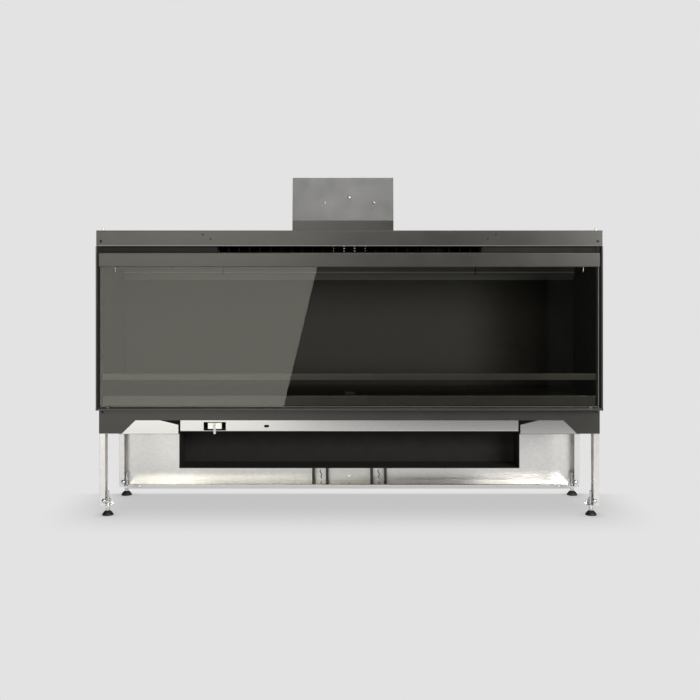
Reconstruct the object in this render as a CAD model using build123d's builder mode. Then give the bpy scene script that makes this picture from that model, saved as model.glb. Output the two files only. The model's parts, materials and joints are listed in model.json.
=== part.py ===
from build123d import *
import math
import os

os.makedirs("parts", exist_ok=True)

# All sizes are millimetres. X is the width, Y runs from front to back and Z is up from the floor.
# A depth is counted back from the front face of the casing.

# Casing
case_width = 1777.0
case_depth = 400.0
casing_bottom = 380.0
sheet = 2.0
fine_sheet = 1.5
bend_radius = 2.6
seat_gap = 0.3
cut_overshoot = 1.0

# Hood
hood_side_gap = 2.5
hood_top = 1011.0
hood_rail_height = 55.0
hood_lip = 14.0

# Front frame
frame_face = 6.0
frame_return = 20.0
frame_step = 10.0
frame_web = 17.5
bottom_rail_height = 8.0
bottom_web_height = 8.0

# Glass
glass_side_gap = 15.5
glass_thickness = 4.0
glass_depth = 3.0
glass_lift = 5.0
glass_top = 915.0
glass_chamfer = 1.0
trim_bottom = 883.0
trim_height = 50.0
trim_side_lap = 4.0
trim_flange = 9.0
pin_inset = 54.0
pin_radius = 1.0
pin_length = 17.0
pin_depth = 1.6
clip_inset = 28.0
clip_width = 10.0
clip_lip = 1.2
clip_height = 7.0
gasket_width = 6.5

# Fire chamber
chamber_side_gap = 22.5
chamber_back_gap = 24.0
chamber_ceiling = 884.0
chamber_floor = 421.0
liner_flange = 14.0
tray_bar_top = 431.5
tray_hem = 6.0
guard_bottom = 486.5
guard_height = 22.5
guard_flange = 14.0
light_housing_depth = 30.0
light_drop = 22.0
light_step_height = 11.5
light_step_depth = 9.5
light_steps = 3
diffuser_height = 5.0
diffuser_depth = 7.0
diffuser_end_length = 382.0
diffuser_joint = 3.0
sensor_width = 40.0
sensor_depth = 18.0
sensor_height = 8.0
sensor_dome_radius = 4.0
sensor_dome_spacing = 12.0
sensor_setback = 130.0

# Outlet slot under the hood
outlet_width = 934.0
outlet_sill = 934.0
blank_lap = 8.0

# Heater
heater_depth = 206.0
heater_height = 118.0
heater_end_gap = 1.5
element_depth = 30.0
element_height = 36.0
element_setback = 44.0
element_wall = 3.0
fin_count = 24
fin_thickness = 1.0
wheel_radius = 38.0
wheel_blade_count = 24
wheel_blade_chord = 13.0
wheel_blade_thickness = 1.0
wheel_disc_thickness = 2.0
wheel_disc_count = 5
wheel_length = 640.0
wheel_left = -400.0
wheel_setback = 150.0
wheel_height = 945.0
shaft_radius = 4.0
shaft_clearance = 0.05
shaft_reach = 3.0
motor_radius = 34.0
motor_length = 80.0
motor_socket = 20.0
motor_foot_width = 50.0
intake_slot_length = 60.0
intake_slot_width = 6.0
intake_slot_count = 22
intake_slot_pitch = 40.0
intake_slot_height = 960.0

# Lower front
panel_depth = 38.5
panel_bottom = 340.0
cover_bottom = 293.0
cover_foot_width = 80.4
cover_slope_run = 48.6
gusset_depth = 40.5
gusset_thickness = 2.5
gusset_bottom = 292.0
gusset_box_gap = 2.7
gusset_leg_gap = 1.0
gusset_shoulder = 323.7
gusset_slope_run = 63.3
gusset_slope_rise = 15.6
gusset_flange = 12.0

# Latch strip and slide latch
strip_depth = 45.0
strip_side_lap = 4.0
strip_bottom = 300.0
strip_bottom_flange = 15.0
strip_top_flange = 20.0
window_width = 78.7
window_height = 30.0
window_bottom = 303.0
window_centre = -477.2
oval_length = 17.7
oval_width = 9.0
oval_centre_x = -293.5
oval_centre_z = 318.5
latch_width = 48.0
latch_height = 21.0
latch_rise = 1.5
latch_front = 2.5
latch_thickness = 9.5
latch_edge = 0.8
rail_shelf_depth = 12.5
rail_lip = 3.5
rail_overlap = 13.0
tab_width = 8.5
tab_length = 38.0
tab_thickness = 1.5
tab_hole_radius = 2.8

# Service box
box_half_width = 603.0
box_bottom = 169.5
box_depth = 112.0

# Base pan, its supports, the rear panel and the rear rail
pan_side_gap = 41.0
pan_bottom = 270.0
pan_depth_start = 160.0
pan_back_gap = 19.0
support_spacing = 224.0
support_width = 63.0
support_face = 10.0
support_leg_depth = 30.0
support_top_tab = 24.0
support_clearance = 2.0
rear_rail_depth = 78.0
rear_rail_top = 54.0
rear_rail_drop = 17.0
rear_rail_end_inset = 46.0
rear_rail_hole_inset = 88.0
rear_rail_hole_radius = 3.5
rear_rail_hole_drop = 7.0
panel_hole_radius = 4.0
panel_hole_height = 69.7
hook_wire_radius = 1.5
hook_height = 32.0
hook_bottom = 61.0
hook_offset = 4.0

# Legs and feet
leg_side_gap = 2.5
leg_width = 20.5
leg_channel_depth = 40.0
leg_bottom = 38.0
front_leg_depth = 43.0
rear_leg_back_gap = 15.0
bracket_top = 190.0
bracket_tab_thickness = 2.5
bracket_tab_z = 37.0
bracket_tab_inset = 44.0
bracket_wing_height = 33.0
leg_travel = 60.0
slide_gap = 0.3
clamp_inset = 16.0
clamp_z = 53.5
clamp_shank_radius = 3.0
clamp_hole_radius = 3.3
clamp_head_radius = 8.5
clamp_head_height = 5.0
clamp_socket_radius = 2.6
clamp_socket_depth = 2.5
clamp_nut_radius = 5.5
clamp_nut_height = 4.4
foot_inset = 25.5
spindle_radius = 5.0
spindle_top = 86.0
spindle_clearance = 0.05
spindle_hex_bottom = 17.0
spindle_hex_height = 8.0
spindle_hex_radius = 8.0
lock_nut_radius = 9.8
lock_nut_height = 7.5
pad_radius = 20.0
pad_rim = 2.5
pad_height = 16.0
pad_neck_radius = 8.0
pad_socket_floor = 6.0

# Top box
top_box_left = -208.0
top_box_width = 369.0
top_box_setback = 150.0
top_box_depth = 80.0
top_box_height = 198.0
top_box_upright = 40.6
top_box_lean = 20.0
box_screw_spacing = 179.0
box_screw_height = 105.6
box_screw_centre_rise = 19.4
box_screw_radius = 5.0
box_screw_centre_radius = 6.0
screw_dome = 0.55
gland_x = -23.0
gland_height = 90.0
gland_bore_radius = 5.0
gland_radius = 9.0
gland_flange_radius = 14.0
gland_flange_thickness = 5.0
gland_reach = 22.0

# Small screws
corner_screw_radius = 4.5
corner_screw_rise = 1.5
hood_screw_inset = 16.0
hood_screw_height = 973.0
panel_screw_inset = 12.0
panel_screw_height = 369.0
stud_radius = 3.5
stud_height = 7.0
stud_inset = 20.0
stud_setback = 15.0

# Values worked out from the sizes above
hood_width = case_width - 2 * hood_side_gap
glass_width = case_width - 2 * glass_side_gap
trim_width = glass_width + 2 * trim_side_lap
pin_spacing = glass_width - 2 * pin_inset
clip_spacing = glass_width - 2 * clip_inset
chamber_width = case_width - 2 * chamber_side_gap
chamber_depth = case_depth - chamber_back_gap
light_depth = chamber_depth - light_housing_depth
strip_half_width = box_half_width - strip_side_lap
gusset_inner_edge = box_half_width + gusset_box_gap
leg_outer = case_width / 2 - leg_side_gap
rear_leg_depth = case_depth - leg_channel_depth - rear_leg_back_gap
pan_half_width = leg_outer - pan_side_gap
pan_depth_end = case_depth - pan_back_gap
rear_rail_front = rear_leg_depth + leg_channel_depth - rear_rail_depth
rear_rail_half_width = leg_outer - rear_rail_end_inset
rear_rail_hole_spacing = 2 * (leg_outer - rear_rail_hole_inset)
bracket_tab_reach = leg_outer - bracket_tab_inset
clamp_x = leg_outer - clamp_inset
foot_x = leg_outer - foot_inset
panel_screw_spacing = 2 * (leg_outer - panel_screw_inset)
hood_screw_spacing = hood_width - 2 * hood_screw_inset
stud_spacing = hood_width - 2 * stud_inset
floor_under = casing_bottom + sheet
inner_bend = bend_radius - sheet
hood_bottom = hood_top - hood_rail_height
lid_under = hood_top - sheet
side_face = case_width / 2 - sheet
frame_inner = case_width / 2 - frame_face
web_front = frame_step
web_rear = frame_step + sheet
liner_face = chamber_width / 2
glass_rear = glass_depth + glass_thickness
rail_top = casing_bottom + bottom_rail_height
glass_bottom = rail_top + glass_lift
back_front = case_depth - sheet
outlet_half = outlet_width / 2
blank_front = web_rear + sheet
blank_outer = liner_face + liner_flange
heater_floor = chamber_ceiling + sheet
heater_inner = outlet_half - fine_sheet
motor_left = wheel_left + wheel_length + motor_socket
strip_rear = strip_depth + sheet
latch_bottom = window_bottom + (window_height - latch_height) / 2 + latch_rise
box_rear = strip_depth + box_depth
rear_leg_end = rear_leg_depth + leg_channel_depth
leg_inner = leg_outer - leg_width
top_box_rear = top_box_setback + top_box_depth


def y_at(depth):
    """Y of a plane that lies this far behind the casing's front face."""
    return depth - case_depth / 2


def facing(depth):
    """Sketch plane across the width, seen from the front; a negative extrusion goes back."""
    return Plane.XZ.offset(-y_at(depth))


def folded_bar(points, width, thickness, side):
    """Bent sheet of one section along the width, from its outer line of (depth, height) points."""
    with BuildPart(mode=Mode.PRIVATE) as bar:
        with BuildSketch(Plane.YZ.offset(-width / 2)):
            with BuildLine():
                FilletPolyline(*[(y_at(depth), height) for depth, height in points], radius=bend_radius)
                offset(amount=thickness, side=side, kind=Kind.INTERSECTION)
            make_face()
        extrude(amount=width)
    return bar.part


def wheel_plane(x):
    """Plane square to the blower's shaft, centred on it, this far along the width."""
    return Plane((x, y_at(wheel_setback), wheel_height), x_dir=(0, 1, 0), z_dir=(1, 0, 0))


def block(x_range, depth_range, z_range):
    """Plain cuboid between two corners, for cuts and simple blocks."""
    size = (x_range[1] - x_range[0], depth_range[1] - depth_range[0], z_range[1] - z_range[0])
    centre = (sum(x_range) / 2, y_at(sum(depth_range) / 2), sum(z_range) / 2)
    return Pos(*centre) * Box(*size, mode=Mode.PRIVATE)


def mirrored(shape):
    """The same piece on the other side of the centre plane."""
    with BuildPart(mode=Mode.PRIVATE) as other:
        mirror(shape, about=Plane.YZ)
    return other.part


def dome_head(radius, rise):
    """Low domed screw head at the origin, standing out to the front."""
    ball = (radius**2 + rise**2) / (2 * rise)
    half_angle = math.asin(radius / ball) / 2
    middle = (ball * math.sin(half_angle), rise - ball + ball * math.cos(half_angle))
    with BuildPart(mode=Mode.PRIVATE) as head:
        with BuildSketch(Plane.XY):
            with BuildLine():
                Line((0, 0), (radius, 0))
                ThreePointArc((radius, 0), middle, (0, rise))
                Line((0, rise), (0, 0))
            make_face()
        revolve(axis=Axis.Y)
    return Rot(0, 0, 180) * head.part


def save(shape, name):
    """Labels a finished piece and writes its file."""
    shape.label = name
    export_step(shape, f"parts/{name}.step")


# Hood: top sheet, tall front rail and its turned lower edge
with BuildPart() as hood:
    add(
        folded_bar(
            [(case_depth, hood_top), (0, hood_top), (0, hood_bottom), (hood_lip, hood_bottom)],
            hood_width,
            sheet,
            Side.LEFT,
        )
    )
    with BuildSketch(facing(0)):
        with Locations((0, hood_screw_height)):
            with GridLocations(hood_screw_spacing, 1, 2, 1):
                Circle(corner_screw_radius + shaft_clearance)
    extrude(amount=-sheet, mode=Mode.SUBTRACT)
save(hood.part, "hood")

# Side frame: outer return, narrow front face, step back and the web behind the glass edge
with BuildPart() as side_frame_right:
    with BuildSketch(Plane.XY.offset(rail_top)):
        with BuildLine():
            FilletPolyline(
                (case_width / 2, y_at(frame_return)),
                (case_width / 2, y_at(0)),
                (frame_inner, y_at(0)),
                (frame_inner, y_at(frame_step)),
                (frame_inner - frame_web + sheet, y_at(frame_step)),
                radius=bend_radius,
            )
            offset(amount=sheet, side=Side.RIGHT, kind=Kind.INTERSECTION)
        make_face()
    extrude(amount=hood_bottom - rail_top)
save(mirrored(side_frame_right.part), "side_frame_left")
save(side_frame_right.part, "side_frame_right")

# Bottom rail under the glass, with the web that backs the glass's lower edge
with BuildPart() as bottom_rail:
    add(
        folded_bar(
            [
                (frame_return, casing_bottom),
                (0, casing_bottom),
                (0, rail_top),
                (frame_step, rail_top),
                (frame_step, rail_top + bottom_web_height),
            ],
            2 * frame_inner,
            sheet,
            Side.RIGHT,
        )
    )
    for end in (-1, 1):
        outer = sorted((end * frame_inner, end * case_width / 2))
        add(block(outer, (0, frame_return), (casing_bottom, casing_bottom + sheet)))
        add(block(outer, (0, sheet), (casing_bottom, rail_top)))
save(bottom_rail.part, "bottom_rail")

# Outer side panels
with BuildPart() as casing_side_right:
    with BuildSketch(Plane.YZ.offset(side_face - sheet)):
        with BuildLine():
            Polyline(
                (y_at(hood_lip), floor_under),
                (y_at(back_front), floor_under),
                (y_at(back_front), lid_under),
                (y_at(hood_lip), lid_under),
                close=True,
            )
        make_face()
    extrude(amount=sheet)
save(mirrored(casing_side_right.part), "casing_side_left")
save(casing_side_right.part, "casing_side_right")

# Casing floor
with BuildPart() as casing_floor:
    add(
        block(
            (-side_face + sheet, side_face - sheet),
            (bend_radius, back_front),
            (floor_under, floor_under + sheet),
        )
    )
save(casing_floor.part, "casing_floor")

# Casing back with the row of air intake slots behind the heater
with BuildPart() as casing_back:
    with BuildSketch(facing(back_front)):
        with Locations((0, (floor_under + lid_under) / 2)):
            Rectangle(2 * side_face, lid_under - floor_under)
        with Locations((0, intake_slot_height)):
            with GridLocations(intake_slot_pitch, 1, intake_slot_count, 1):
                SlotOverall(intake_slot_length, intake_slot_width, rotation=90, mode=Mode.SUBTRACT)
    extrude(amount=-sheet)
save(casing_back.part, "casing_back")

# Recessed blanking plates at both ends of the outlet slot
with BuildPart() as outlet_blanks:
    add(
        block(
            (outlet_half, blank_outer),
            (blank_front, blank_front + sheet),
            (outlet_sill - blank_lap, hood_bottom + sheet),
        )
    )
    mirror(about=Plane.YZ)
save(outlet_blanks.part, "outlet_blanks")

# Fire chamber: side liners with a flange behind the side frame's web
with BuildPart() as chamber_side_right:
    with BuildSketch(Plane.XY.offset(floor_under + sheet)):
        with BuildLine():
            FilletPolyline(
                (liner_face + liner_flange, y_at(web_rear)),
                (liner_face, y_at(web_rear)),
                (liner_face, y_at(chamber_depth + sheet)),
                radius=bend_radius,
            )
            offset(amount=sheet, side=Side.RIGHT, kind=Kind.INTERSECTION)
        make_face()
    extrude(amount=chamber_ceiling - floor_under - sheet)
save(mirrored(chamber_side_right.part), "chamber_side_left")
save(chamber_side_right.part, "chamber_side_right")

# Fire chamber back
with BuildPart() as chamber_back:
    add(
        block(
            (-liner_face, liner_face),
            (chamber_depth, chamber_depth + sheet),
            (floor_under + sheet, chamber_ceiling),
        )
    )
save(chamber_back.part, "chamber_back")

# Fire chamber ceiling with the upstand that forms the outlet sill
with BuildPart() as chamber_top:
    add(
        folded_bar(
            [
                (web_rear, outlet_sill),
                (web_rear, chamber_ceiling),
                (chamber_depth + sheet, chamber_ceiling),
            ],
            2 * blank_outer,
            sheet,
            Side.LEFT,
        )
    )
save(chamber_top.part, "chamber_ceiling")

# Floor tray with the hemmed bar at its front
with BuildPart() as floor_tray:
    add(
        folded_bar(
            [
                (web_rear, floor_under + sheet),
                (web_rear, tray_bar_top),
                (web_rear + tray_hem, tray_bar_top),
                (web_rear + tray_hem, chamber_floor),
                (chamber_depth, chamber_floor),
            ],
            chamber_width,
            sheet,
            Side.RIGHT,
        )
    )
save(floor_tray.part, "floor_tray")

# Upper bar behind the glass
with BuildPart() as guard_bar:
    add(
        folded_bar(
            [
                (web_rear, guard_bottom),
                (web_rear, guard_bottom + guard_height),
                (web_rear + guard_flange, guard_bottom + guard_height),
            ],
            chamber_width,
            fine_sheet,
            Side.RIGHT,
        )
    )
save(guard_bar.part, "guard_bar")

# Stepped light housing under the ceiling at the back
groove_top = chamber_ceiling - light_drop
groove_bottom = groove_top - diffuser_height
with BuildPart() as light_housing:
    with BuildSketch(Plane.YZ):
        with BuildLine():
            outline = [
                (chamber_depth, chamber_ceiling),
                (light_depth, chamber_ceiling),
                (light_depth, groove_top),
                (light_depth + diffuser_depth, groove_top),
                (light_depth + diffuser_depth, groove_bottom),
                (light_depth, groove_bottom),
            ]
            for step in range(light_steps):
                low = groove_bottom - (step + 1) * light_step_height + diffuser_height * 1.5
                outline.append((light_depth + step * light_step_depth, low))
                outline.append((light_depth + (step + 1) * light_step_depth, low))
            outline.append((chamber_depth, outline[-1][1]))
            Polyline(*[(y_at(depth), height) for depth, height in outline], close=True)
        make_face()
    extrude(amount=liner_face, both=True)
save(light_housing.part, "light_housing")

# Three lengths of light diffuser in the housing's groove
diffuser_joint_x = liner_face - diffuser_end_length
with BuildPart() as light_diffusers:
    spans = [
        (-liner_face + seat_gap, -diffuser_joint_x - diffuser_joint / 2),
        (-diffuser_joint_x + diffuser_joint / 2, diffuser_joint_x - diffuser_joint / 2),
        (diffuser_joint_x + diffuser_joint / 2, liner_face - seat_gap),
    ]
    for span in spans:
        add(
            block(
                span,
                (light_depth + seat_gap, light_depth + diffuser_depth - seat_gap),
                (groove_bottom + seat_gap, groove_top - seat_gap),
            )
        )
save(light_diffusers.part, "light_diffusers")

# Sensor block on the chamber floor with three small domes
with BuildPart() as floor_sensor:
    with BuildSketch(Plane.XY.offset(chamber_floor)):
        with Locations((0, y_at(sensor_setback))):
            RectangleRounded(sensor_width, sensor_depth, sensor_depth / 4)
    extrude(amount=sensor_height)
    with Locations((0, y_at(sensor_setback), chamber_floor + sensor_height)):
        with GridLocations(sensor_dome_spacing, 1, 3, 1):
            Sphere(sensor_dome_radius)
save(floor_sensor.part, "floor_sensor")

# Glass, tilting forward on its lower edge, with its trim and two pins
with BuildPart() as front_glass:
    with BuildSketch(facing(glass_depth)):
        with Locations((0, (glass_bottom + glass_top) / 2)):
            Rectangle(glass_width, glass_top - glass_bottom)
    extrude(amount=-glass_thickness)
    chamfer(front_glass.edges().group_by(Axis.Y)[0], length=glass_chamfer)
save(front_glass.part, "front_glass")

trim_top = trim_bottom + trim_height
with BuildPart() as glass_trim:
    add(
        folded_bar(
            [
                (glass_depth, trim_bottom),
                (0, trim_bottom),
                (0, trim_top),
                (trim_flange, trim_top),
            ],
            trim_width,
            fine_sheet,
            Side.RIGHT,
        )
    )
save(glass_trim.part, "glass_trim")

with BuildPart() as glass_pins:
    with Locations((0, y_at(pin_depth), trim_bottom - pin_length / 2)):
        with GridLocations(pin_spacing, 1, 2, 1):
            Cylinder(pin_radius, pin_length)
save(glass_pins.part, "glass_pins")

# Clips that the glass stands on
with BuildPart() as glass_clips:
    with BuildSketch(Plane.YZ):
        with BuildLine():
            Polyline(
                (y_at(seat_gap), rail_top),
                (y_at(glass_rear), rail_top),
                (y_at(glass_rear), glass_bottom - seat_gap),
                (y_at(seat_gap + clip_lip), glass_bottom - seat_gap),
                (y_at(seat_gap + clip_lip), rail_top + clip_height),
                (y_at(seat_gap), rail_top + clip_height),
                close=True,
            )
        make_face()
    extrude(amount=clip_width / 2, both=True)
clip = glass_clips.part
with BuildPart() as glass_clips:
    with GridLocations(clip_spacing, 1, 2, 1):
        add(clip)
save(glass_clips.part, "glass_clips")

# Gasket between the web and the glass, open at the top
gasket_inner = glass_width / 2 - gasket_width
gasket_bottom = rail_top + bend_radius + seat_gap
with BuildPart() as glass_gasket:
    with BuildSketch(facing(glass_rear + seat_gap)):
        with BuildLine():
            Polyline(
                (-glass_width / 2, chamber_ceiling),
                (-glass_width / 2, gasket_bottom),
                (glass_width / 2, gasket_bottom),
                (glass_width / 2, chamber_ceiling),
                (gasket_inner, chamber_ceiling),
                (gasket_inner, rail_top + bottom_web_height),
                (-gasket_inner, rail_top + bottom_web_height),
                (-gasket_inner, chamber_ceiling),
                close=True,
            )
        make_face()
    extrude(amount=-(web_front - glass_rear - seat_gap))
save(glass_gasket.part, "glass_gasket")

# Heater housing: a sheet box with the outlet mouth, a wide intake and a bearing hole
heater_front = blank_front + inner_bend
heater_rear = heater_front + heater_depth
heater_top = heater_floor + heater_height
with BuildPart() as heater_housing:
    add(block((-outlet_half, outlet_half), (heater_front, heater_rear), (heater_floor, heater_top)))
    add(
        block(
            (-heater_inner, heater_inner),
            (heater_front + fine_sheet, heater_rear - fine_sheet),
            (heater_floor + fine_sheet, heater_top - fine_sheet),
        ),
        mode=Mode.SUBTRACT,
    )
    add(
        block(
            (-heater_inner, heater_inner),
            (heater_front - fine_sheet, heater_front + 2 * fine_sheet),
            (outlet_sill, hood_bottom),
        ),
        mode=Mode.SUBTRACT,
    )
    with Locations(Plane((0, y_at(heater_rear), intake_slot_height), x_dir=(1, 0, 0), z_dir=(0, 1, 0))):
        with GridLocations(intake_slot_pitch, 1, intake_slot_count, 1):
            Box(intake_slot_width, intake_slot_length, 4 * fine_sheet, mode=Mode.SUBTRACT)
    with Locations(wheel_plane(-outlet_half)):
        Cylinder(shaft_radius + shaft_clearance, 4 * fine_sheet, mode=Mode.SUBTRACT)
save(heater_housing.part, "heater_housing")

# Heater element: two long bars and the fins between them, held by the housing's ends
with BuildPart() as heater_element:
    with BuildSketch(facing(element_setback)):
        with Locations((0, (outlet_sill + hood_bottom) / 2)):
            Rectangle(2 * heater_inner, element_height)
            Rectangle(2 * (heater_inner - element_wall), element_height - 2 * element_wall, mode=Mode.SUBTRACT)
            with GridLocations(2 * heater_inner / (fin_count + 1), 1, fin_count, 1):
                Rectangle(fin_thickness, element_height - element_wall)
    extrude(amount=-element_depth)
save(heater_element.part, "heater_element")

# Blower wheel: curved blades between discs on one shaft
with BuildPart() as blower_wheel:
    with BuildSketch(wheel_plane(wheel_left)):
        with PolarLocations(wheel_radius - wheel_blade_chord / 2, wheel_blade_count):
            with BuildLine(mode=Mode.PRIVATE) as blade_line:
                ThreePointArc(
                    (-wheel_blade_chord / 2, 0),
                    (0, wheel_blade_chord / 5),
                    (wheel_blade_chord / 2, 0),
                )
            with BuildSketch(mode=Mode.PRIVATE) as blade:
                with BuildLine():
                    add(blade_line.line)
                    offset(amount=wheel_blade_thickness, side=Side.RIGHT)
                make_face()
            add(blade.sketch)
    extrude(amount=wheel_length)
    disc_pitch = (wheel_length - wheel_disc_thickness) / (wheel_disc_count - 1)
    for disc in range(wheel_disc_count):
        with BuildSketch(wheel_plane(wheel_left + disc * disc_pitch)):
            Circle(wheel_radius)
        extrude(amount=wheel_disc_thickness)
    with BuildSketch(wheel_plane(-outlet_half - shaft_reach)):
        Circle(shaft_radius)
    extrude(amount=outlet_half + shaft_reach + motor_left + motor_socket / 2)
save(blower_wheel.part, "blower_wheel")

# Blower motor on its foot, with the bore that takes the shaft
with BuildPart() as blower_motor:
    with BuildSketch(wheel_plane(motor_left)):
        Circle(motor_radius)
    extrude(amount=motor_length)
    add(
        block(
            (motor_left, motor_left + motor_length),
            (wheel_setback - motor_foot_width / 2, wheel_setback + motor_foot_width / 2),
            (heater_floor + fine_sheet, wheel_height - motor_radius / 2),
        )
    )
    with BuildSketch(wheel_plane(motor_left)):
        Circle(shaft_radius + shaft_clearance)
    extrude(amount=motor_socket, mode=Mode.SUBTRACT)
save(blower_motor.part, "blower_motor")

# Lower front panel with a cover over each leg
with BuildPart() as lower_panel:
    with BuildSketch(facing(panel_depth)):
        with BuildLine():
            foot_edge = leg_outer - cover_foot_width
            Polyline(
                (-leg_outer, floor_under),
                (leg_outer, floor_under),
                (leg_outer, cover_bottom),
                (foot_edge, cover_bottom),
                (foot_edge - cover_slope_run, panel_bottom),
                (-foot_edge + cover_slope_run, panel_bottom),
                (-foot_edge, cover_bottom),
                (-leg_outer, cover_bottom),
                close=True,
            )
        make_face()
    extrude(amount=-(gusset_depth - panel_depth))
save(lower_panel.part, "lower_panel")

# Galvanised gussets, each with a turned lower edge
slope = gusset_slope_rise / gusset_slope_run
slope_top_x = gusset_inner_edge + (floor_under - gusset_shoulder) / slope
with BuildPart() as leg_gussets:
    with BuildSketch(facing(gusset_depth)):
        with BuildLine():
            Polyline(
                (leg_outer, gusset_bottom),
                (leg_outer, floor_under),
                (slope_top_x, floor_under),
                (gusset_inner_edge, gusset_shoulder),
                (gusset_inner_edge, gusset_bottom),
                close=True,
            )
        make_face()
    extrude(amount=-gusset_thickness)
    gusset_rear = gusset_depth + gusset_thickness
    add(
        block(
            (gusset_inner_edge, leg_inner - gusset_leg_gap),
            (gusset_rear - gusset_thickness, gusset_rear + gusset_flange),
            (gusset_bottom, gusset_bottom + gusset_thickness),
        )
    )
    mirror(about=Plane.YZ)
save(leg_gussets.part, "leg_gussets")

# Galvanised latch strip with its window and oval hole
with BuildPart() as latch_strip:
    add(
        folded_bar(
            [
                (strip_depth + strip_bottom_flange, strip_bottom),
                (strip_depth, strip_bottom),
                (strip_depth, floor_under),
                (strip_depth + strip_top_flange, floor_under),
            ],
            2 * strip_half_width,
            sheet,
            Side.RIGHT,
        )
    )
    with BuildSketch(facing(strip_depth)):
        with Locations((window_centre, window_bottom + window_height / 2)):
            Rectangle(window_width, window_height)
        with Locations((oval_centre_x, oval_centre_z)):
            SlotOverall(oval_length, oval_width)
    extrude(amount=-sheet, mode=Mode.SUBTRACT)
save(latch_strip.part, "latch_strip")

# Rail behind the window that the latch runs on
rail_width = window_width + 2 * rail_overlap
rail_face = latch_bottom - slide_gap
with BuildPart() as latch_rail:
    with BuildSketch(Plane.YZ.offset(window_centre - rail_width / 2)):
        with BuildLine():
            Polyline(
                (y_at(strip_rear), rail_face),
                (y_at(strip_rear), rail_face - fine_sheet),
                (y_at(strip_rear + rail_shelf_depth), rail_face - fine_sheet),
                (y_at(strip_rear + rail_shelf_depth), rail_face + rail_lip),
                (y_at(strip_rear + rail_shelf_depth - fine_sheet), rail_face + rail_lip),
                (y_at(strip_rear + rail_shelf_depth - fine_sheet), rail_face),
                close=True,
            )
        make_face()
    extrude(amount=rail_width)
save(latch_rail.part, "latch_rail")

# Slide latch: the white block in the window, with a chamfered front
latch_face = strip_depth - latch_front
with BuildPart() as latch_block:
    with BuildSketch(facing(latch_face)):
        with Locations((window_centre, latch_bottom + latch_height / 2)):
            Rectangle(latch_width, latch_height)
    extrude(amount=-(latch_front + latch_thickness))
    chamfer(latch_block.edges().group_by(Axis.Y)[0], length=latch_edge)
    with BuildSketch(facing(latch_face)):
        with Locations((window_centre, latch_bottom + latch_height / 2)):
            Circle(tab_hole_radius)
    extrude(amount=-latch_thickness / 2, mode=Mode.SUBTRACT)
save(latch_block.part, "latch_block")

# Pull tab screwed to the front of the latch block
tab_top = latch_bottom + latch_height - latch_edge
with BuildPart() as latch_tab:
    with BuildSketch(facing(latch_face - tab_thickness)):
        with Locations((window_centre, tab_top - tab_length / 2)):
            RectangleRounded(tab_width, tab_length, tab_width / 4)
        with Locations((window_centre, latch_bottom + latch_height / 2)):
            Circle(tab_hole_radius, mode=Mode.SUBTRACT)
    extrude(amount=-tab_thickness)
save(latch_tab.part, "latch_tab")

# Service box, open at the front
with BuildPart() as service_box:
    add(block((-box_half_width, box_half_width), (strip_depth, box_rear), (box_bottom, strip_bottom)))
    offset(amount=-sheet, openings=service_box.faces().sort_by(Axis.Y)[0])
save(service_box.part, "service_box")

# Base pan hung under the casing floor, open at the top
with BuildPart() as base_pan:
    add(
        block(
            (-pan_half_width, pan_half_width),
            (pan_depth_start, pan_depth_end),
            (pan_bottom, floor_under),
        )
    )
    offset(amount=-sheet, openings=base_pan.faces().sort_by(Axis.Z)[-1])
save(base_pan.part, "base_pan")

# Supports under the base pan: two lipped legs joined by a top tab
support_rear = pan_depth_end - support_clearance
support_front = support_rear - support_leg_depth
with BuildPart() as pan_support:
    for end in (-1, 1):
        outer_x = end * support_width / 2
        side_wall = sorted((outer_x, outer_x - end * sheet))
        face = sorted((outer_x, outer_x - end * support_face))
        add(block(side_wall, (support_front, support_rear), (rear_rail_top, pan_bottom)))
        add(block(face, (support_front, support_front + sheet), (rear_rail_top, pan_bottom)))
    add(
        block(
            (-support_width / 2, support_width / 2),
            (support_front, support_front + support_top_tab),
            (pan_bottom - sheet, pan_bottom),
        )
    )
support = pan_support.part
with BuildPart() as pan_supports:
    with GridLocations(support_spacing, 1, 2, 1):
        add(support)
save(pan_supports.part, "pan_supports")

# Wire hooks on the rear panel, one between each support's legs
hook_depth = rear_leg_end - sheet - hook_wire_radius
with BuildPart() as cable_hooks:
    for centre_x in (-support_spacing / 2, support_spacing / 2):
        with BuildLine() as hook_path:
            quarter = hook_height / 4
            Spline(
                (centre_x + hook_offset, y_at(hook_depth), hook_bottom),
                (centre_x + hook_offset / 2, y_at(hook_depth), hook_bottom + quarter),
                (centre_x + hook_offset, y_at(hook_depth), hook_bottom + 2 * quarter),
                (centre_x - hook_offset / 4, y_at(hook_depth), hook_bottom + 3 * quarter),
                (centre_x + hook_offset / 2, y_at(hook_depth), hook_bottom + hook_height),
            )
        with BuildSketch(Plane(hook_path.line @ 0, z_dir=hook_path.line % 0)):
            Circle(hook_wire_radius)
        sweep(path=hook_path.line)
save(cable_hooks.part, "cable_hooks")

# Rear panel between the rear legs
with BuildPart() as rear_panel:
    with BuildSketch(facing(rear_leg_end - sheet)):
        with Locations((0, (rear_rail_top + floor_under) / 2)):
            Rectangle(2 * leg_inner, floor_under - rear_rail_top)
        with Locations((0, panel_hole_height)):
            Circle(panel_hole_radius, mode=Mode.SUBTRACT)
    extrude(amount=-sheet)
save(rear_panel.part, "rear_panel")

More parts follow.
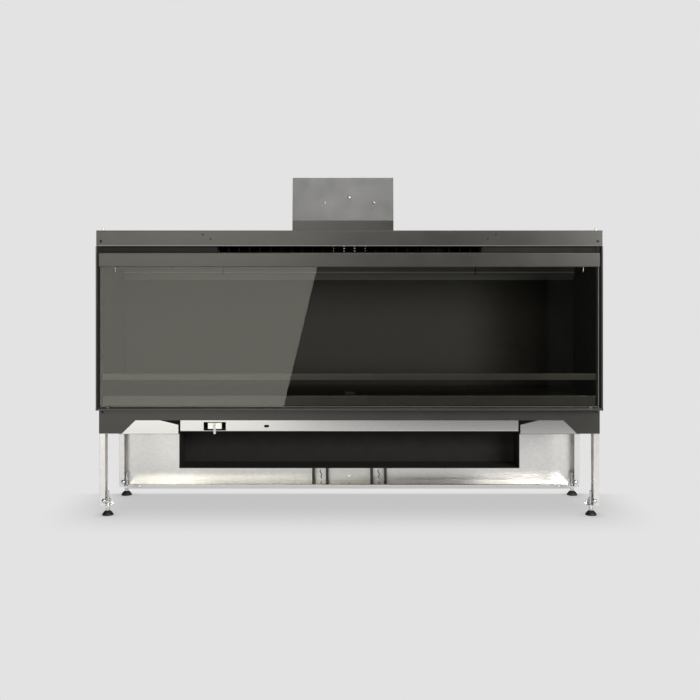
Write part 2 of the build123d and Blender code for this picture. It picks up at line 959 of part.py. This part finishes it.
# Rear cross rail: a deep shelf with two lips, and end tabs against the rear legs
rail_lip_bottom = rear_rail_top - rear_rail_drop
with BuildPart() as rear_cross_rail:
    add(
        folded_bar(
            [
                (rear_rail_front, rail_lip_bottom),
                (rear_rail_front, rear_rail_top),
                (rear_leg_end, rear_rail_top),
                (rear_leg_end, rail_lip_bottom),
            ],
            2 * rear_rail_half_width,
            sheet,
            Side.RIGHT,
        )
    )
    for end in (-1, 1):
        tab_span = sorted((end * rear_rail_half_width, end * leg_inner))
        add(block(tab_span, (rear_leg_end - sheet, rear_leg_end), (rail_lip_bottom, rear_rail_top - sheet)))
    with BuildSketch(facing(rear_rail_front)):
        with Locations((0, rear_rail_top - rear_rail_hole_drop)):
            with GridLocations(rear_rail_hole_spacing, 1, 2, 1):
                Circle(rear_rail_hole_radius)
    extrude(amount=-sheet, mode=Mode.SUBTRACT)
save(rear_cross_rail.part, "rear_cross_rail")


def channel_leg(depth):
    """Right-hand leg: an upright channel open towards the centre, drilled for its clamp bolt."""
    with BuildPart() as leg:
        with BuildSketch(Plane.XY.offset(leg_bottom)):
            with BuildLine():
                FilletPolyline(
                    (leg_inner, y_at(depth)),
                    (leg_outer, y_at(depth)),
                    (leg_outer, y_at(depth + leg_channel_depth)),
                    (leg_inner, y_at(depth + leg_channel_depth)),
                    radius=bend_radius,
                )
                offset(amount=sheet, side=Side.LEFT, kind=Kind.INTERSECTION)
            make_face()
        extrude(amount=floor_under - leg_bottom)
        with BuildSketch(facing(depth)):
            with Locations((clamp_x, clamp_z)):
                Circle(clamp_hole_radius)
        extrude(amount=-sheet, mode=Mode.SUBTRACT)
    return leg.part


def foot_bracket(depth):
    """Channel that slides inside a leg, with the slot for the clamp bolt and the tab for the foot."""
    outer = leg_outer - sheet - slide_gap
    front = depth + sheet + slide_gap
    rear = depth + leg_channel_depth - sheet - slide_gap
    tab_under = bracket_tab_z - bracket_tab_thickness
    with BuildPart() as bracket:
        with BuildSketch(Plane.XY.offset(tab_under)):
            with BuildLine():
                FilletPolyline(
                    (leg_inner, y_at(front)),
                    (outer, y_at(front)),
                    (outer, y_at(rear)),
                    (leg_inner, y_at(rear)),
                    radius=bend_radius,
                )
                offset(amount=sheet, side=Side.LEFT, kind=Kind.INTERSECTION)
            make_face()
        extrude(amount=bracket_top - tab_under)
        with BuildSketch(facing(rear - sheet)):
            with BuildLine():
                Polyline(
                    (leg_inner, tab_under),
                    (bracket_tab_reach, tab_under),
                    (bracket_tab_reach, bracket_tab_z),
                    (leg_inner, bracket_tab_z + bracket_wing_height),
                    close=True,
                )
            make_face()
        extrude(amount=-sheet)
        with BuildSketch(Plane.XY.offset(tab_under)):
            with Locations(((bracket_tab_reach + outer) / 2, y_at((front + rear) / 2))):
                Rectangle(outer - bracket_tab_reach - bend_radius, rear - front - 2 * bend_radius)
            with Locations(((bracket_tab_reach + leg_inner) / 2, y_at((front + rear) / 2))):
                Rectangle(leg_inner - bracket_tab_reach, rear - front)
        extrude(amount=bracket_tab_thickness)
        with BuildSketch(Plane.XY.offset(tab_under)):
            with Locations((foot_x, y_at((front + rear) / 2))):
                Circle(spindle_radius + spindle_clearance)
        extrude(amount=bracket_tab_thickness, mode=Mode.SUBTRACT)
        with BuildSketch(facing(front)):
            with Locations((clamp_x, clamp_z + leg_travel / 2)):
                SlotCenterToCenter(leg_travel, 2 * clamp_hole_radius, rotation=90)
        extrude(amount=-sheet, mode=Mode.SUBTRACT)
    return bracket.part


def clamp_bolt(depth):
    """Domed socket-head bolt through a leg and its bracket, with its nut."""
    bracket_rear = depth + 2 * sheet + slide_gap
    with BuildPart() as bolt:
        add(dome_head(clamp_head_radius, clamp_head_height))
        with BuildSketch(Plane.XZ):
            Circle(clamp_shank_radius)
        extrude(amount=-(bracket_rear - depth + clamp_nut_height))
        with BuildSketch(Plane.XZ.offset(depth - bracket_rear)):
            RegularPolygon(clamp_nut_radius, 6)
        extrude(amount=-clamp_nut_height)
        with BuildSketch(Plane.XZ.offset(clamp_head_height - clamp_socket_depth)):
            RegularPolygon(clamp_socket_radius, 6)
        extrude(amount=clamp_socket_depth + cut_overshoot, mode=Mode.SUBTRACT)
    return Pos(clamp_x, y_at(depth), clamp_z) * bolt.part


def screw_spindle():
    """Levelling spindle with its hexagon, standing in the pad's socket."""
    with BuildPart() as spindle:
        with BuildSketch(Plane.XY.offset(pad_socket_floor + seat_gap)):
            Circle(spindle_radius)
        extrude(amount=spindle_top - pad_socket_floor - seat_gap)
        chamfer(spindle.edges().sort_by(Axis.Z)[-1], length=spindle_radius / 5)
        with BuildSketch(Plane.XY.offset(spindle_hex_bottom)):
            RegularPolygon(spindle_hex_radius, 6)
        extrude(amount=spindle_hex_height)
    return spindle.part


def lock_nut():
    """Hexagon nut under the bracket's tab."""
    with BuildPart() as nut:
        with BuildSketch(Plane.XY.offset(bracket_tab_z - bracket_tab_thickness - lock_nut_height)):
            RegularPolygon(lock_nut_radius, 6)
            Circle(spindle_radius + spindle_clearance, mode=Mode.SUBTRACT)
        extrude(amount=lock_nut_height)
    return nut.part


def foot_pad():
    """Domed pad with a flat base and a socket for the spindle."""
    with BuildPart() as pad:
        with BuildSketch(Plane.XZ):
            with BuildLine():
                Line((0, 0), (pad_radius, 0))
                Line((pad_radius, 0), (pad_radius, pad_rim))
                ThreePointArc(
                    (pad_radius, pad_rim),
                    ((pad_radius + pad_neck_radius) / 2, pad_height * 0.68),
                    (pad_neck_radius, pad_height),
                )
                Line((pad_neck_radius, pad_height), (0, pad_height))
                Line((0, pad_height), (0, 0))
            make_face()
        revolve(axis=Axis.Z)
        with BuildSketch(Plane.XY.offset(pad_socket_floor)):
            Circle(spindle_radius + spindle_clearance)
        extrude(amount=pad_height, mode=Mode.SUBTRACT)
    return pad.part


# Legs, sliding foot brackets and screwed feet at the four corners
clamp_bolts = []
for row, leg_depth in (("front", front_leg_depth), ("rear", rear_leg_depth)):
    foot_place = Pos(foot_x, y_at(leg_depth + leg_channel_depth / 2), 0)
    for side in ("left", "right"):
        corner = {
            "leg": channel_leg(leg_depth),
            "foot_bracket": Compound(children=[foot_bracket(leg_depth), foot_place * lock_nut()]),
            "foot_spindle": foot_place * screw_spindle(),
            "foot_pad": foot_place * foot_pad(),
        }
        bolt = clamp_bolt(leg_depth)
        if side == "left":
            corner = {name: mirrored(shape) for name, shape in corner.items()}
            bolt = mirrored(bolt)
        clamp_bolts.append(bolt)
        for name, shape in corner.items():
            save(shape, f"{name}_{row}_{side}")
save(Compound(children=clamp_bolts), "clamp_bolts")

# Top box: upright lower front, front face leaning back above it, open underneath
with BuildPart() as top_box:
    with BuildSketch(Plane.YZ.offset(top_box_left)):
        with BuildLine():
            Polyline(
                (y_at(top_box_setback), hood_top),
                (y_at(top_box_setback), hood_top + top_box_upright),
                (y_at(top_box_setback + top_box_lean), hood_top + top_box_height),
                (y_at(top_box_rear), hood_top + top_box_height),
                (y_at(top_box_rear), hood_top),
                close=True,
            )
        make_face()
    extrude(amount=top_box_width)
    offset(amount=-sheet, openings=top_box.faces().sort_by(Axis.Z)[0])
    with BuildSketch(facing(top_box_rear - sheet)):
        with Locations((gland_x, hood_top + gland_height)):
            Circle(gland_radius + shaft_clearance)
    extrude(amount=-sheet, mode=Mode.SUBTRACT)
save(top_box.part, "top_box")

# Three domed screws on the leaning front
lean_angle = math.degrees(math.atan2(top_box_lean, top_box_height - top_box_upright))


def box_screw(x, height, radius):
    """Domed screw that stands square to the leaning face."""
    lean = (height - top_box_upright) * math.tan(math.radians(lean_angle))
    head = dome_head(radius, radius * screw_dome)
    return Pos(x, y_at(top_box_setback + lean), hood_top + height) * Rot(-lean_angle, 0, 0) * head


top_box_screws = [
    box_screw(-box_screw_spacing / 2, box_screw_height, box_screw_radius),
    box_screw(0, box_screw_height + box_screw_centre_rise, box_screw_centre_radius),
    box_screw(box_screw_spacing / 2, box_screw_height, box_screw_radius),
]
save(Compound(children=top_box_screws), "top_box_screws")

# Cable gland through the back of the top box
with BuildPart() as cable_gland:
    with BuildSketch(facing(top_box_rear - sheet)):
        with Locations((gland_x, hood_top + gland_height)):
            Circle(gland_radius)
    extrude(amount=-(gland_reach + sheet))
    with BuildSketch(facing(top_box_rear)):
        with Locations((gland_x, hood_top + gland_height)):
            RegularPolygon(gland_flange_radius, 6)
    extrude(amount=-gland_flange_thickness)
    with BuildSketch(facing(top_box_rear - sheet)):
        with Locations((gland_x, hood_top + gland_height)):
            Circle(gland_bore_radius)
    extrude(amount=-(gland_reach + sheet), mode=Mode.SUBTRACT)
save(cable_gland.part, "cable_gland")

# Small screws at the ends of the hood and of the lower panel, and the two studs on the hood
case_screws = []
for end in (-1, 1):
    head = dome_head(corner_screw_radius, corner_screw_rise)
    case_screws.append(
        Pos(end * hood_screw_spacing / 2, y_at(corner_screw_rise), hood_screw_height) * head
    )
    case_screws.append(
        Pos(end * panel_screw_spacing / 2, y_at(panel_depth), panel_screw_height) * head
    )
    stud = Cylinder(stud_radius, stud_height)
    case_screws.append(Pos(end * stud_spacing / 2, y_at(stud_setback), hood_top + stud_height / 2) * stud)
save(Compound(children=case_screws), "case_screws")
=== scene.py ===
import json
import math

import bmesh
import bpy
from mathutils import Matrix, Vector


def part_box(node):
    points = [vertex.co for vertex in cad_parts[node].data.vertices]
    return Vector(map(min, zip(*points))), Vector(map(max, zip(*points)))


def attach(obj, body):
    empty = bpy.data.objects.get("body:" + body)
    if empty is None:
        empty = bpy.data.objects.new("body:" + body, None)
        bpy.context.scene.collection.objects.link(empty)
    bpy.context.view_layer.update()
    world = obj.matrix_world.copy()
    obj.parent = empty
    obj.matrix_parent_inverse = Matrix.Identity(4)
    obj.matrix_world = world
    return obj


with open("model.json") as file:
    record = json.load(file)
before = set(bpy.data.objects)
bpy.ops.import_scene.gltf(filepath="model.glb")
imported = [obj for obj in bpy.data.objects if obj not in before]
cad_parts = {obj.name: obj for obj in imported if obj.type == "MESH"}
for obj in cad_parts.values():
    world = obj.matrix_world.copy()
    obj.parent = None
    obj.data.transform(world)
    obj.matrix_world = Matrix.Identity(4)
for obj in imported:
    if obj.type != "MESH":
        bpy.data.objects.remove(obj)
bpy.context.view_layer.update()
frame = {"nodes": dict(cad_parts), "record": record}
nodes = frame["nodes"]
slots = {entry["node"]: entry["material_slot"] for entry in frame["record"]["subparts"]}


def linear(code):
    """Linear RGBA of a hexadecimal sRGB colour."""
    parts = [int(code[i : i + 2], 16) / 255 for i in (0, 2, 4)]
    return (*[c / 12.92 if c <= 0.04045 else ((c + 0.055) / 1.055) ** 2.4 for c in parts], 1.0)


def add(tree, kind, inputs=None, **settings):
    """Adds a shader node, sets it up and feeds its inputs from values or other nodes' outputs."""
    made = tree.nodes.new(kind)
    for key, value in settings.items():
        setattr(made, key, value)
    for key, value in (inputs or {}).items():
        if isinstance(value, bpy.types.NodeSocket):
            tree.links.new(value, made.inputs[key])
        else:
            made.inputs[key].default_value = value
    return made


def finish_of(name, colour, roughness, metallic=0.0, **inputs):
    """A new material with one surface shader; returns the material, its tree and the shader."""
    material = bpy.data.materials.new(name)
    material.use_nodes = True
    tree = material.node_tree
    tree.nodes.clear()
    shader = add(
        tree,
        "ShaderNodeBsdfPrincipled",
        {"Base Color": linear(colour), "Roughness": roughness, "Metallic": metallic, **inputs},
    )
    out = add(tree, "ShaderNodeOutputMaterial")
    tree.links.new(shader.outputs[0], out.inputs["Surface"])
    return material, tree, shader


def noise(tree, size_mm, detail=2.0, stretch=(1, 1, 1)):
    """Noise with features of about this real size, in the object's own metres."""
    where = add(tree, "ShaderNodeTexCoord")
    scaled = add(
        tree, "ShaderNodeMapping", {"Vector": where.outputs["Object"], "Scale": Vector(stretch)}
    )
    return add(
        tree,
        "ShaderNodeTexNoise",
        {"Vector": scaled.outputs[0], "Scale": 1000 / size_mm, "Detail": detail},
    ).outputs["Fac"]


def spread(tree, value, low, high, start=0.3, end=0.7):
    """Maps a noise value to a range."""
    return add(
        tree,
        "ShaderNodeMapRange",
        {"Value": value, "From Min": start, "From Max": end, "To Min": low, "To Max": high},
    ).outputs[0]


def bump(tree, shader, value, height_mm):
    """Lets a texture shape the surface's highlights."""
    made = add(
        tree, "ShaderNodeBump", {"Height": value, "Distance": height_mm / 1000, "Strength": 1.0}
    )
    tree.links.new(made.outputs[0], shader.inputs["Normal"])


# Satin black powder coat: an even, slightly pebbled sheen that turns grey where a softbox meets it
paint, tree, shader = finish_of(
    "Black powder-coated sheet steel", "21201D", 0.31, **{"Specular IOR Level": 0.8}
)
bump(tree, shader, noise(tree, 1.2, 1.0), 0.012)
tree.links.new(spread(tree, noise(tree, 60.0), 0.29, 0.33), shader.inputs["Roughness"])

# Matt heat-proof black of the chamber and service box, and painted shade on other set-back sheet: dull,
# a little patchy
matt_black_and_painted_shade, tree, shader = finish_of(
    "Matt black heat-proof paint and painted shade", "191816", 0.75, **{"Specular IOR Level": 0.25}
)
tree.links.new(spread(tree, noise(tree, 35.0), 0.7, 0.8), shader.inputs["Roughness"])

# Galvanised sheet: pale satin metal with a faint spangle and soft rolling lines
galvanised, tree, shader = finish_of("Galvanised sheet steel", "EFEEEC", 0.32, 1.0)
where = add(tree, "ShaderNodeTexCoord")
cells = add(tree, "ShaderNodeTexVoronoi", {"Vector": where.outputs["Object"], "Scale": 110.0})
grain = add(tree, "ShaderNodeSeparateColor", {"Color": cells.outputs["Color"]})
ramp = add(tree, "ShaderNodeValToRGB", {"Fac": grain.outputs[0]})
ramp.color_ramp.elements[0].color = linear("EBEAE8")
ramp.color_ramp.elements[1].color = linear("F2F1EF")
tree.links.new(ramp.outputs[0], shader.inputs["Base Color"])
tree.links.new(spread(tree, grain.outputs[1], 0.31, 0.35, 0.0, 1.0), shader.inputs["Roughness"])
bump(tree, shader, noise(tree, 30.0, 2.0, (0.1, 1, 1)), 0.02)

# Galvanised sheet rolled smoother: the rear rail, latch strip and gussets mirror what lies before them
smooth_galvanised, tree, shader = finish_of("Smooth galvanised sheet steel", "EFEEEC", 0.2, 1.0)

# Bright zinc plate on studs, bolts, pins and spindles: a cleaner, tighter shine than the sheet
zinc, tree, shader = finish_of("Bright zinc-plated steel", "D8D9DA", 0.24, 1.0)

# Moulded black nylon of the feet, cable gland and sensor: matt with a soft edge light
nylon, tree, shader = finish_of("Moulded black nylon", "181818", 0.5)
bump(tree, shader, noise(tree, 0.6, 1.0), 0.01)

# White nylon of the latch: clean, soft white
white, tree, shader = finish_of("Moulded white nylon", "E4E3DF", 0.42)

# Woven black gasket: dull, fibrous edge behind the glass
gasket, tree, shader = finish_of("Woven black gasket", "141414", 0.9)
bump(tree, shader, noise(tree, 1.5, 3.0), 0.3)

# Frosted diffuser, unlit: a pale matt line
frosted, tree, shader = finish_of("Frosted acrylic", "8C8C8A", 0.5)

# Dull grey aluminium of the light housing and the clips under the glass
aluminium, tree, shader = finish_of("Dull grey aluminium", "5A5A59", 0.5, 0.6)
bump(tree, shader, noise(tree, 20.0, 2.0, (0.05, 1, 1)), 0.02)

# Clear glass: lets light straight through and reflects more as the view slants
glass = bpy.data.materials.new("Clear toughened glass")
glass.use_nodes = True
tree = glass.node_tree
tree.nodes.clear()
facing = add(tree, "ShaderNodeLayerWeight", {"Blend": 0.5}).outputs["Facing"]
slant = add(tree, "ShaderNodeMath", {0: facing, 1: 5.0}, operation="POWER").outputs[0]
share = add(tree, "ShaderNodeMath", {0: slant, 1: 0.9, 2: 0.043}, operation="MULTIPLY_ADD").outputs[0]
clear = add(tree, "ShaderNodeBsdfTransparent", {"Color": linear("F2F2EF")})
mirror = add(tree, "ShaderNodeBsdfGlossy", {"Color": linear("FFFFFF"), "Roughness": 0.0})
mixed = add(tree, "ShaderNodeMixShader", {0: share, 1: clear.outputs[0], 2: mirror.outputs[0]})
out = add(tree, "ShaderNodeOutputMaterial")
tree.links.new(mixed.outputs[0], out.inputs["Surface"])

# Ground rim of the toughened glass: a pale, matt line all round the pane, partly a painted highlight
# along the edge
rim_and_painted_highlight, tree, shader = finish_of("Ground glass rim and painted highlight", "A3A8A4", 0.5)

# Painted highlight on the hood's lower fold: a pale, half-metallic strip stands in for the light the
# fold catches
painted_fold_highlight, tree, shader = finish_of("Painted highlight on a fold", "9A9893", 0.3, 0.7)

# Painted shade: near-black on the parts deep inside, so they read as plain darkness through the slots
painted_darkness, tree, shader = finish_of("Near-black painted darkness", "0C0C0C", 0.7)

# Dark oxidised steel of the small screws, rivets and clips
dark_screw, tree, shader = finish_of("Black oxide screws", "1F1B18", 0.45, 0.5)

SLOT_FINISH = {
    "casing_paint": paint,
    "galvanised": galvanised,
    "zinc": zinc,
    "glass": glass,
    "black_plastic": nylon,
    "white_plastic": white,
    "gasket": gasket,
    "diffuser": frosted,
    "aluminium": aluminium,
}
INSIDE = (
    "chamber_back",
    "chamber_side_left",
    "chamber_side_right",
    "chamber_ceiling",
    "floor_tray",
    "service_box",
    # The outlet blanks' matt black is partly painted shade of their recess
    "outlet_blanks",
)


def dress(piece, material):
    """Gives a mesh one material."""
    piece.data.materials.clear()
    piece.data.materials.append(material)


# The heater, blower and base pan take the near-black painted shade of the deep inside
HIDDEN_DARK = ("heater_element", "heater_housing", "blower_wheel", "blower_motor", "base_pan")
for name, piece in nodes.items():
    # The latch rail's matt black is painted shade for the dark niche under the latch
    if name in INSIDE or name == "latch_rail":
        dress(piece, matt_black_and_painted_shade)
    elif name in ("rear_cross_rail", "latch_strip", "leg_gussets"):
        dress(piece, smooth_galvanised)
    elif name in HIDDEN_DARK:
        dress(piece, painted_darkness)
    else:
        dress(piece, SLOT_FINISH[slots[name]])

# The two studs on the hood keep the zinc; the small screws below them are dark
screws = nodes["case_screws"]
screws.data.materials.append(dark_screw)
hood_top_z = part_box("hood")[1].z
for face in screws.data.polygons:
    if face.center.z < hood_top_z:
        face.material_index = 1

# The front plane, how deep the side frames' face goes, and how far the hood's lower fold reaches
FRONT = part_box("hood")[0].y
FACE_DEPTH = 0.004
FOLD_REACH = 0.0026


def dress_faces(name, material, chosen):
    """Gives some faces of a frame node a second material."""
    mesh = nodes[name].data
    mesh.materials.append(material)
    for face in mesh.polygons:
        if chosen(face):
            face.material_index = 1


# Painted shade: the frame's step behind the face takes the matt black for the dark beside the pane
for side in ("left", "right"):
    dress_faces("side_frame_" + side, matt_black_and_painted_shade, lambda face: face.center.y > FRONT + FACE_DEPTH)

# The tray's front bar is painted as the outside is
dress_faces("floor_tray", paint, lambda face: face.normal.y < -0.5)

# The pane's ground rim, partly a painted highlight, and the painted highlight on the hood's lower fold
dress_faces("front_glass", rim_and_painted_highlight, lambda face: abs(face.normal.y) < 0.9)
hood_bottom_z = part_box("hood")[0].z
dress_faces(
    "hood",
    painted_fold_highlight,
    lambda face: face.center.z < hood_bottom_z + FOLD_REACH and face.center.y < FRONT + FOLD_REACH,
)


def new_piece(name, shape, material, body="casing"):
    """Turns a bmesh into a named piece that rides a body of the frame."""
    mesh = bpy.data.meshes.new(name)
    bmesh.ops.recalc_face_normals(shape, faces=shape.faces)
    shape.to_mesh(mesh)
    shape.free()
    made = bpy.data.objects.new(name, mesh)
    bpy.context.scene.collection.objects.link(made)
    dress(made, material)
    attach(made, body)


def cuboid(shape, low, high):
    """Adds a cuboid between two corners."""
    low, high = Vector(low), Vector(high)
    made = bmesh.ops.create_cube(shape, size=1.0)["verts"]
    bmesh.ops.scale(shape, vec=high - low, verts=made)
    bmesh.ops.translate(shape, vec=(low + high) / 2, verts=made)


# Small rivets in the hood's rail
RIVET_PLACES = ((0.513, 0.9965), (0.485, 0.981))
RIVET_RADIUS = 0.0030
RIVET_CROWN = 0.0014
RIVET_HEIGHT = 0.0012
shape = bmesh.new()
for side in (-1, 1):
    for x, z in RIVET_PLACES:
        bmesh.ops.create_cone(
            shape,
            cap_ends=True,
            segments=20,
            radius1=RIVET_RADIUS,
            radius2=RIVET_CROWN,
            depth=RIVET_HEIGHT,
            matrix=Matrix.Translation((side * x, FRONT - RIVET_HEIGHT / 2, z))
            @ Matrix.Rotation(math.radians(90), 4, "X"),
        )
new_piece("rail_rivets", shape, dark_screw)

# Clips over the joints of the light diffuser
CLIP_X = 0.484
CLIP_HALF_WIDTH = 0.002
CLIP_THICKNESS = 0.002
CLIP_BOTTOM = 0.852
CLIP_TOP = 0.883
housing_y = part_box("light_housing")[0].y
shape = bmesh.new()
for x in (-CLIP_X, CLIP_X):
    cuboid(
        shape,
        (x - CLIP_HALF_WIDTH, housing_y - CLIP_THICKNESS, CLIP_BOTTOM),
        (x + CLIP_HALF_WIDTH, housing_y, CLIP_TOP),
    )
new_piece("diffuser_clips", shape, dark_screw)

# Stage: a pale floor with painted shadow close under the object, and a plain pale backdrop colour
BACKDROP = linear("E3E3E3")


def stage_plane(name, corners, material):
    """A flat stage piece through these corners."""
    mesh = bpy.data.meshes.new(name)
    shape = bmesh.new()
    shape.faces.new([shape.verts.new(corner) for corner in corners])
    shape.to_mesh(mesh)
    shape.free()
    made = bpy.data.objects.new(name, mesh)
    bpy.context.scene.collection.objects.link(made)
    dress(made, material)
    return made


def ramp_over(tree, value, start, end):
    """Rises smoothly from 0 to 1 while the value goes from start to end."""
    return add(
        tree,
        "ShaderNodeMapRange",
        {"Value": value, "From Min": start, "From Max": end, "To Min": 0.0, "To Max": 1.0},
        interpolation_type="SMOOTHSTEP",
    ).outputs[0]


def product(tree, first, second):
    """Product of two shader values."""
    return add(tree, "ShaderNodeMath", {0: first, 1: second}, operation="MULTIPLY").outputs[0]


# The floor's shadow is painted, a mask in its material: soft in front and at the sides, straight at the
# rear.
# Reflections see painted shade on the floor, deepening towards the front right. Each pair is where a
# ramp starts and ends.
SHADOW_SIDE = (1.12, 0.8)
SHADOW_FRONT = (-0.42, 0.0)
SHADOW_REAR = (0.2, 0.165)
SHADOW_DEPTH = 0.28
DIMMING_SIDE = (-0.95, 0.65)
DIMMING_FRONT = (-1.5, -1.95)
DIMMING = 0.85
CONTACT_REACH = 0.05
floor_paper = bpy.data.materials.new("Pale studio floor")
floor_paper.use_nodes = True
tree = floor_paper.node_tree
tree.nodes.clear()
where = add(tree, "ShaderNodeTexCoord")
along = add(tree, "ShaderNodeSeparateXYZ", {"Vector": where.outputs["Object"]})
sideways = add(tree, "ShaderNodeMath", {0: along.outputs["X"]}, operation="ABSOLUTE").outputs[0]
under = product(
    tree,
    product(
        tree,
        ramp_over(tree, sideways, *SHADOW_SIDE),
        ramp_over(tree, along.outputs["Y"], *SHADOW_FRONT),
    ),
    ramp_over(tree, along.outputs["Y"], *SHADOW_REAR),
)
# Painted contact shade: the floor darkens where parts of the object stand close above it
contact = add(tree, "ShaderNodeAmbientOcclusion", {"Distance": CONTACT_REACH}, samples=12).outputs["AO"]
shadow = add(
    tree, "ShaderNodeMath", {0: under, 1: -SHADOW_DEPTH, 2: 1.0}, operation="MULTIPLY_ADD"
).outputs[0]
level = product(tree, shadow, spread(tree, contact, low=0.6, high=1.0, start=0.2, end=1.0))
ray = add(tree, "ShaderNodeLightPath")
sided = add(
    tree,
    "ShaderNodeMath",
    {
        0: product(
            tree,
            ramp_over(tree, along.outputs["X"], *DIMMING_SIDE),
            ramp_over(tree, along.outputs["Y"], *DIMMING_FRONT),
        ),
        1: -DIMMING,
        2: 1.0,
    },
    operation="MULTIPLY_ADD",
).outputs[0]
strength = add(
    tree,
    "ShaderNodeMix",
    {"Factor": ray.outputs["Is Camera Ray"], "A": product(tree, shadow, sided), "B": level},
    data_type="FLOAT",
).outputs[0]
glow = add(tree, "ShaderNodeEmission", {"Color": BACKDROP, "Strength": strength})
out = add(tree, "ShaderNodeOutputMaterial")
tree.links.new(glow.outputs[0], out.inputs["Surface"])
FLOOR_FRONT = -2.85
FLOOR_REAR = 60.0
FLOOR_REACH = 14.0
stage_plane(
    "floor",
    [
        (-FLOOR_REACH, FLOOR_FRONT, 0),
        (FLOOR_REACH, FLOOR_FRONT, 0),
        (FLOOR_REACH, FLOOR_REAR, 0),
        (-FLOOR_REACH, FLOOR_REAR, 0),
    ],
    floor_paper,
)


def glowing_cloth(name, level):
    """Warm light from a stage card, as strong as a function of its place says."""
    material = bpy.data.materials.new(name)
    material.use_nodes = True
    tree = material.node_tree
    tree.nodes.clear()
    where = add(tree, "ShaderNodeTexCoord")
    along = add(tree, "ShaderNodeSeparateXYZ", {"Vector": where.outputs["Object"]})
    strength = level(tree, along.outputs["X"], along.outputs["Z"])
    glow = add(tree, "ShaderNodeEmission", {"Color": linear("FFFCF0"), "Strength": strength})
    out = add(tree, "ShaderNodeOutputMaterial")
    tree.links.new(glow.outputs[0], out.inputs["Surface"])
    return material


# How bright the two stage cards are, and where each of their ramps starts and ends
CARD_RADIANCE = 1.5
CARD_LIFT = 1.25
CARD_LIFT_HEIGHT = (0.85, 1.05)
WALL_RADIANCE = 0.27
WALL_FADE_RIGHT = (1.2, 0.74)
WALL_FADE_TOP = (1.0, 0.45)
WALL_FADE_BOTTOM = (-0.05, 0.25)


def slanted_level(tree, x, z):
    """Brighter above the part that the pane mirrors."""
    lift = ramp_over(tree, z, *CARD_LIFT_HEIGHT)
    return add(
        tree, "ShaderNodeMath", {0: lift, 1: CARD_LIFT, 2: CARD_RADIANCE}, operation="MULTIPLY_ADD"
    ).outputs[0]


def wall_level(tree, x, z):
    """Even across the middle, fading out to the right, at the top and at the bottom."""
    height = product(tree, ramp_over(tree, z, *WALL_FADE_TOP), ramp_over(tree, z, *WALL_FADE_BOTTOM))
    return product(tree, product(tree, ramp_over(tree, x, *WALL_FADE_RIGHT), height), WALL_RADIANCE)


# The slanted softbox whose edge shows in the glass, and a dim wall behind it that greys the middle.
# Both stand upright, so their corners are pairs of x and z.
CARD_Y = -3.7
CARD_CORNERS = ((-2.6, -0.35), (-0.515, -0.35), (0.05, 2.0), (-2.6, 2.0))
WALL_Y = -3.72
WALL_CORNERS = ((-0.6, -0.5), (1.4, -0.5), (1.4, 1.05), (-0.6, 1.05))
card = stage_plane(
    "slanted_softbox",
    [(x, CARD_Y, z) for x, z in CARD_CORNERS],
    glowing_cloth("Softbox cloth", slanted_level),
)
wall = stage_plane(
    "dim_wall",
    [(x, WALL_Y, z) for x, z in WALL_CORNERS],
    glowing_cloth("Dim studio wall", wall_level),
)
card.visible_camera = False
wall.visible_camera = False


def softbox(name, place, aim, size, radiance, colour=(1.0, 1.0, 1.0)):
    """An area light that points at a spot, given its size in metres and its brightness."""
    light = bpy.data.lights.new(name, "AREA")
    light.shape = "RECTANGLE"
    light.size, light.size_y = size
    light.energy = radiance * math.pi * size[0] * size[1]
    light.color = colour
    made = bpy.data.objects.new(name, light)
    made.location = place
    made.rotation_euler = (Vector(aim) - Vector(place)).to_track_quat("-Z", "Y").to_euler()
    bpy.context.scene.collection.objects.link(made)


softbox(
    "right_softbox",
    place=(3.2, -4.0, 2.15),
    aim=(0.0, 0.0, 0.7),
    size=(2.5, 2.2),
    radiance=15.0,
    colour=(1.0, 0.965, 0.925),
)
softbox(
    "front_top_softbox",
    place=(0.0, -4.0, 2.55),
    aim=(0.0, 0.0, 1.1),
    size=(1.5, 0.8),
    radiance=9.5,
)
softbox("top_softbox", place=(0, 0.2, 3.2), aim=(0, 0, 0.5), size=(3.4, 1.6), radiance=2.0)

world = bpy.data.worlds.new("Pale studio")
bpy.context.scene.world = world
world.use_nodes = True
tree = world.node_tree
tree.nodes.clear()
ray = add(tree, "ShaderNodeLightPath")
around = add(tree, "ShaderNodeBackground", {"Color": linear("FFFFFF"), "Strength": 0.1})
dim = add(tree, "ShaderNodeBackground", {"Color": linear("FFFFFF"), "Strength": 0.03})
seen = add(tree, "ShaderNodeBackground", {"Color": BACKDROP, "Strength": 1.0})
first = add(
    tree,
    "ShaderNodeMixShader",
    {0: ray.outputs["Is Glossy Ray"], 1: around.outputs[0], 2: dim.outputs[0]},
)
second = add(
    tree,
    "ShaderNodeMixShader",
    {0: ray.outputs["Is Camera Ray"], 1: first.outputs[0], 2: seen.outputs[0]},
)
out = add(tree, "ShaderNodeOutputWorld")
tree.links.new(second.outputs[0], out.inputs["Surface"])

# Camera of the photograph
lens = bpy.data.cameras.new("photo_camera")
lens.sensor_width = 36.0
lens.lens = 51.43
lens.shift_x = 0.0009
lens.shift_y = -0.1296
camera = bpy.data.objects.new("photo_camera", lens)
camera.location = (0.0, -3.7, 0.91)
camera.rotation_euler = (math.radians(90), 0, 0)
bpy.context.scene.collection.objects.link(camera)
bpy.context.scene.camera = camera

scene = bpy.context.scene
scene.view_settings.view_transform = "Standard"
